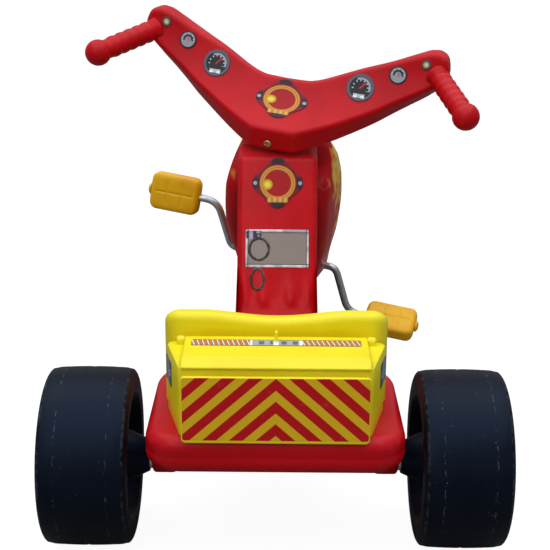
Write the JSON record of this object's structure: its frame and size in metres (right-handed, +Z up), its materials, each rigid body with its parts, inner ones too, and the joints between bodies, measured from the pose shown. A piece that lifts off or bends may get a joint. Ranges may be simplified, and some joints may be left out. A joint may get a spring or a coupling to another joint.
{
  "type": "child's pedal tricycle",
  "caption": "Child's low pedal tricycle: upright neck, V-shaped handlebar, yellow seat with a lidded box, wide hollow rear wheels and a steered front wheel with direct cranks.",
  "frame": {"origin": "on the floor, under the middle of the overall box", "axes": "+Z up, +Y forward, +X to the rider's right; stored with the steering turned 16 degrees to the right"},
  "size_m": [0.5566, 0.8754, 0.5997],
  "materials": {
    "red_plastic": "blow-moulded, semi-gloss red",
    "yellow_plastic": "moulded, semi-gloss lemon yellow",
    "black_plastic": "blow-moulded, satin black, lightly scuffed",
    "amber_plastic": "moulded, semi-gloss amber",
    "white_nylon": "moulded, natural nylon",
    "zinc_steel": "zinc-plated steel",
    "brass": "plated screw, satin"
  },
  "bodies": {
    "frame": {"chassis": "red_plastic", "seat": "yellow_plastic", "storage_box": "yellow_plastic", "tail_panel": "yellow_plastic", "rear_axle": "zinc_steel", "axle_cap_left": "black_plastic", "axle_cap_right": "black_plastic", "axle_washer_left": "white_nylon", "axle_washer_right": "white_nylon", "seat_bolt_left": "zinc_steel", "seat_bolt_right": "zinc_steel", "lid_pin_left": "zinc_steel", "lid_pin_right": "zinc_steel", "head_bush_upper": "white_nylon", "head_bush_lower": "white_nylon"},
    "lid": {"box_lid": "yellow_plastic", "lid_tab": "yellow_plastic"},
    "steering": {"steering_stem": "zinc_steel", "fork_crown": "red_plastic", "handlebar": "red_plastic", "handlebar_screw": "brass", "fork_leg_left": "red_plastic", "fork_leg_right": "red_plastic", "fork_bolt_left": "zinc_steel", "fork_bolt_right": "zinc_steel", "crank_bush_left": "white_nylon", "crank_bush_right": "white_nylon"},
    "front_wheel": {"front_wheel": "black_plastic", "crank": "zinc_steel", "pedal_cap_left": "black_plastic", "pedal_cap_right": "black_plastic"},
    "pedal_left": {"pedal_left": "amber_plastic"},
    "pedal_right": {"pedal_right": "amber_plastic"},
    "rear_wheel_left": {"rear_wheel_left": "black_plastic"},
    "rear_wheel_right": {"rear_wheel_right": "black_plastic"}
  },
  "joints": [
    {"name": "steer", "type": "hinge", "parent": "frame", "child": "steering", "pos_m": [0.00355, 0.2251, 0.17108], "axis": [0, -0.4384, 0.8988], "range_deg": [-19, 51]},
    {"name": "front_wheel_spin", "type": "hinge", "parent": "steering", "child": "front_wheel", "pos_m": [0.0132, 0.25534, 0.18583], "axis": [0.9613, -0.2477, -0.1208], "continuous": true},
    {"name": "pedal_left_spin", "type": "hinge", "parent": "front_wheel", "child": "pedal_left", "pos_m": [-0.16489, 0.29151, 0.28389], "axis": [0.9613, -0.2477, -0.1208], "continuous": true},
    {"name": "pedal_right_spin", "type": "hinge", "parent": "front_wheel", "child": "pedal_right", "pos_m": [0.19129, 0.21917, 0.08777], "axis": [0.9613, -0.2477, -0.1208], "continuous": true},
    {"name": "rear_wheel_left_spin", "type": "hinge", "parent": "frame", "child": "rear_wheel_left", "pos_m": [-0.2, -0.31544, 0.1075], "axis": [1, 0, 0], "continuous": true},
    {"name": "rear_wheel_right_spin", "type": "hinge", "parent": "frame", "child": "rear_wheel_right", "pos_m": [0.2, -0.31544, 0.1075], "axis": [1, 0, 0], "continuous": true},
    {"name": "box_lid_hinge", "type": "hinge", "parent": "frame", "child": "lid", "pos_m": [0.00355, -0.35144, 0.273], "axis": [-1, 0, 0], "range_deg": [0, 60]}
  ]
}
